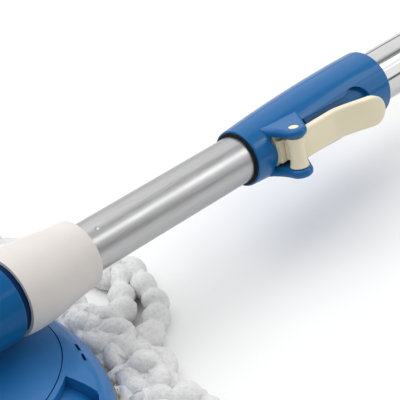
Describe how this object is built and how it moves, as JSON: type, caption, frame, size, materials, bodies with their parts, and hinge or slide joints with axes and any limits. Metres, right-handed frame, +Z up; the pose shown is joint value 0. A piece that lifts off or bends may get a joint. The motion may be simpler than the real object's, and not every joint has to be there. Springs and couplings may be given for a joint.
{
  "type": "spin mop",
  "caption": "Hand-press spin mop with a looped yarn head, a folding joint and a telescoping pole that turns its head through a twisted spindle and locks with a cam lever.",
  "frame": {"origin": "centre of the drive socket's mouth under the mop head", "axes": "+Z up out of the mop plate along the head's own axis, +X along the folded pole towards its hanging end"},
  "size_m": [1.036, 0.266, 0.0729],
  "materials": {
    "blue_shell": "glossy moulded",
    "navy_nylon": "moulded nylon",
    "cream_plastic": "fine satin",
    "white_acetal": "turned acetal",
    "steel": "machined",
    "brushed_tube": "brushed along its length",
    "polished_tube": "polished",
    "chenille": "fluffy looped yarn",
    "band_cloth": "stitched woven tape",
    "black_rubber": "moulded",
    "grip_rubber": "soft ribbed"
  },
  "bodies": {
    "mop_head": {"mop_plate": "blue_shell", "drive_hub": "navy_nylon", "hub_cap": "blue_shell", "socket_sleeve": "steel", "yoke": "navy_nylon", "yoke_screws": "steel", "snap_ring": "navy_nylon", "stitched_band": "band_cloth", "yarn_bundle_1": "chenille", "yarn_bundle_2": "chenille", "yarn_bundle_3": "chenille", "yarn_bundle_4": "chenille", "yarn_bundle_5": "chenille", "yarn_bundle_6": "chenille", "yarn_bundle_7": "chenille", "yarn_bundle_8": "chenille"},
    "lower_pole": {"hinge_pin": "steel", "joint_barrel": "blue_shell", "tube_collar": "cream_plastic", "lower_tube": "brushed_tube", "guide_bush": "white_acetal", "clutch_body": "white_acetal", "clutch_rollers": "steel", "clutch_cap": "white_acetal"},
    "clutch_nut": {"drive_nut": "steel"},
    "upper_pole": {"upper_tube": "polished_tube", "lock_housing": "blue_shell", "housing_screw": "steel", "wiper_ring": "black_rubber", "twisted_spindle": "steel", "spindle_stop": "white_acetal", "spindle_plug": "white_acetal", "handle_grip": "grip_rubber", "end_cap": "blue_shell"},
    "lever": {"lock_lever": "cream_plastic"},
    "shoe": {"clamp_shoe": "cream_plastic"}
  },
  "joints": [
    {"name": "head_tilt", "type": "hinge", "parent": "mop_head", "child": "lower_pole", "pos_m": [0, 0, 0.052], "axis": [0, -1, 0], "range_deg": [0, 185]},
    {"name": "plunge", "type": "slide", "parent": "lower_pole", "child": "upper_pole", "axis": [0.9989, 0, -0.0464], "range_m": [-0.075, 0.255]},
    {"name": "nut_spin", "type": "hinge", "parent": "lower_pole", "child": "clutch_nut", "pos_m": [0.53942, 0, 0.02697], "axis": [0.9989, 0, -0.0464], "range_deg": [-770, 230]},
    {"name": "lever_swing", "type": "hinge", "parent": "upper_pole", "child": "lever", "pos_m": [0.19925, -0.01946, 0.04852], "axis": [-0.0444, -0.284, -0.9578], "range_deg": [0, 110]},
    {"name": "shoe_lift", "type": "slide", "parent": "upper_pole", "child": "shoe", "axis": [0.0132, -0.9588, 0.2837], "range_m": [0, 0.0005]}
  ],
  "couplings": [
    {"joint": "nut_spin", "follows": "plunge", "rad_per_m": -52.36},
    {"joint": "shoe_lift", "follows": "lever_swing", "m_per_rad": 0.00026}
  ]
}
